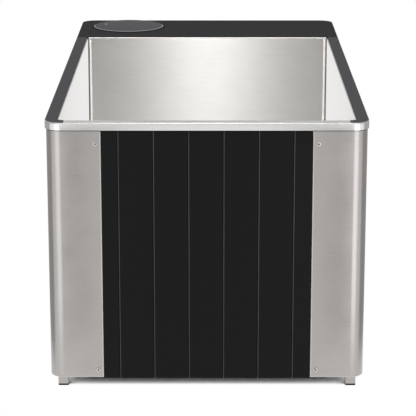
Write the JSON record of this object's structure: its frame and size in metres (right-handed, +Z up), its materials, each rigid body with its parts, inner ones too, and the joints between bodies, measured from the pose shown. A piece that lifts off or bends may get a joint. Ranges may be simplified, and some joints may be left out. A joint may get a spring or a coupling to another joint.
{
  "type": "cold plunge tub",
  "caption": "Rectangular cold plunge tub with an open stainless basin, black boarded sides between steel corner panels, and a rear deck over a filter and chiller.",
  "frame": {"origin": "on the floor, at the middle of the footprint", "axes": "+Z up, +Y from the boarded front end to the rear deck, +X to the right as seen from the front"},
  "size_m": [0.8, 1.55, 0.6931],
  "materials": {
    "brushed_steel": "fine brushed stainless sheet, satin",
    "basin_steel": "brushed stainless sheet, brighter satin",
    "black_board": "matt black composite board with faint vertical grain",
    "deck_board": "matt charcoal composite board",
    "lid_grey": "satin moulded grey plastic",
    "rubber": "matt black rubber",
    "foam": "closed-cell insulation foam",
    "white_plastic": "white moulded plastic",
    "black_plastic": "black moulded plastic",
    "black_steel": "black painted steel",
    "aluminium": "mill aluminium fins",
    "brass": "plain brass",
    "filter_paper": "white pleated filter cloth"
  },
  "bodies": {
    "tub": {"base_pan": "brushed_steel", "basin": "basin_steel", "chiller_feed_pipe": "white_plastic", "circulation_pump": "black_plastic", "compressor": "black_steel", "condenser": "aluminium", "control_box": "black_plastic", "corner_cap_left": "deck_board", "corner_cap_right": "deck_board", "corner_panel_front_left": "brushed_steel", "corner_panel_front_right": "brushed_steel", "corner_panel_rear_left": "brushed_steel", "corner_panel_rear_right": "brushed_steel", "drain_pipe": "white_plastic", "drain_strainer": "brushed_steel", "drain_valve": "brass", "fan_shroud": "black_plastic", "filter_canister": "white_plastic", "foot_front_left": "brushed_steel", "foot_front_right": "brushed_steel", "foot_rear_left": "brushed_steel", "foot_rear_right": "brushed_steel", "front_board_1": "black_board", "front_board_2": "black_board", "front_board_3": "black_board", "front_board_4": "black_board", "front_board_5": "black_board", "front_board_6": "black_board", "front_board_7": "black_board", "front_rim": "brushed_steel", "heat_exchanger": "black_plastic", "insulation_jacket": "foam", "left_cladding": "black_board", "left_deck": "deck_board", "pad_front_left": "rubber", "pad_front_right": "rubber", "pad_rear_left": "rubber", "pad_rear_right": "rubber", "power_inlet": "black_plastic", "rear_deck": "deck_board", "rear_panel": "brushed_steel", "return_nozzle": "white_plastic", "return_pipe": "white_plastic", "right_cladding": "black_board", "right_deck": "deck_board", "rim_band": "brushed_steel", "screw_left_lower": "brushed_steel", "screw_left_upper": "brushed_steel", "screw_right_lower": "brushed_steel", "screw_right_upper": "brushed_steel", "suction_fitting": "white_plastic", "suction_pipe": "white_plastic"},
    "lid": {"filter_lid": "lid_grey", "lid_gasket": "rubber", "filter_cartridge": "filter_paper"},
    "release_button": {"air_release_button": "brushed_steel"},
    "fan": {"fan_rotor": "black_plastic"},
    "drain_handle": {"drain_lever": "black_plastic"},
    "rocker": {"power_switch": "black_plastic"}
  },
  "joints": [
    {"name": "lid_lift", "type": "slide", "parent": "tub", "child": "lid", "axis": [0, 0, 1], "range_m": [0, 0.34]},
    {"name": "button_press", "type": "slide", "parent": "lid", "child": "release_button", "axis": [0, 0, -1], "range_m": [0, 0.002], "stiffness_N_per_m": 400},
    {"name": "fan_spin", "type": "hinge", "parent": "tub", "child": "fan", "pos_m": [0.165, 0.677, 0.44], "axis": [0, 1, 0], "continuous": true},
    {"name": "drain_turn", "type": "hinge", "parent": "tub", "child": "drain_handle", "pos_m": [0, 0.712, 0.088], "axis": [0, 0, -1], "range_deg": [0, 90]},
    {"name": "switch_rock", "type": "hinge", "parent": "tub", "child": "rocker", "pos_m": [0.215, 0.7698, 0.11], "axis": [-1, 0, 0], "range_deg": [0, 16]}
  ]
}
